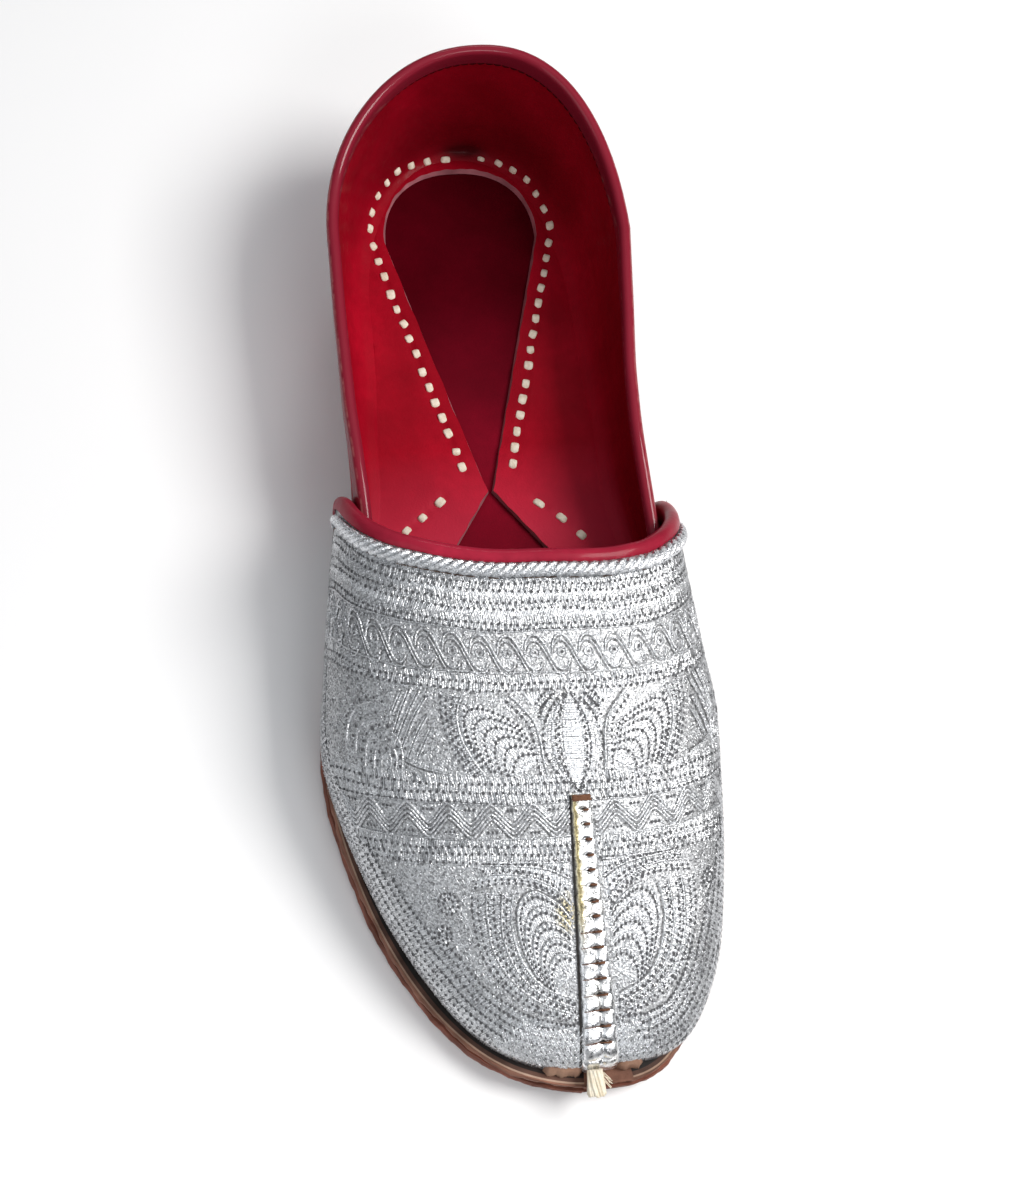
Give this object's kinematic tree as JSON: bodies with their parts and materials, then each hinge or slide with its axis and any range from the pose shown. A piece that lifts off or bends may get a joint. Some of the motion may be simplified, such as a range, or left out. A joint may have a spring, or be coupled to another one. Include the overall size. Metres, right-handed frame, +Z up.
{
  "type": "jutti",
  "caption": "Flat leather slipper with a silver embroidered vamp, a red leather heel wall with a turned-in flange, bound throat and topline, and a stitched toe strip on a layered leather sole.",
  "frame": {"origin": "middle of the shoe's box on the floor, under its sole", "axes": "+Y from the toe to the heel, +X towards the inner side of the foot, +Z up"},
  "size_m": [0.093, 0.2534, 0.0529],
  "materials": {
    "sole_leather": "dark brown cut edge of thick leather",
    "layer_leather": "pale raw leather edge",
    "bed_leather": "dark crimson leather, satin",
    "silver_thread": "silver metal-wrapped embroidery thread over cloth, glinting",
    "red_leather": "bright red lining leather, satin",
    "binding_leather": "crimson binding leather, glossy",
    "silver_cord": "twisted silver thread",
    "silver_leather": "silver coated leather, worn",
    "white_cotton": "off-white cotton thread"
  },
  "bodies": {
    "root": {"outsole": "sole_leather", "midsole": "layer_leather", "insole": "bed_leather", "vamp": "silver_thread", "quarter": "red_leather", "throat_binding": "binding_leather", "throat_cord": "silver_cord", "topline_binding": "binding_leather", "toe_strip": "silver_leather", "toe_tie": "white_cotton"}
  },
  "joints": []
}
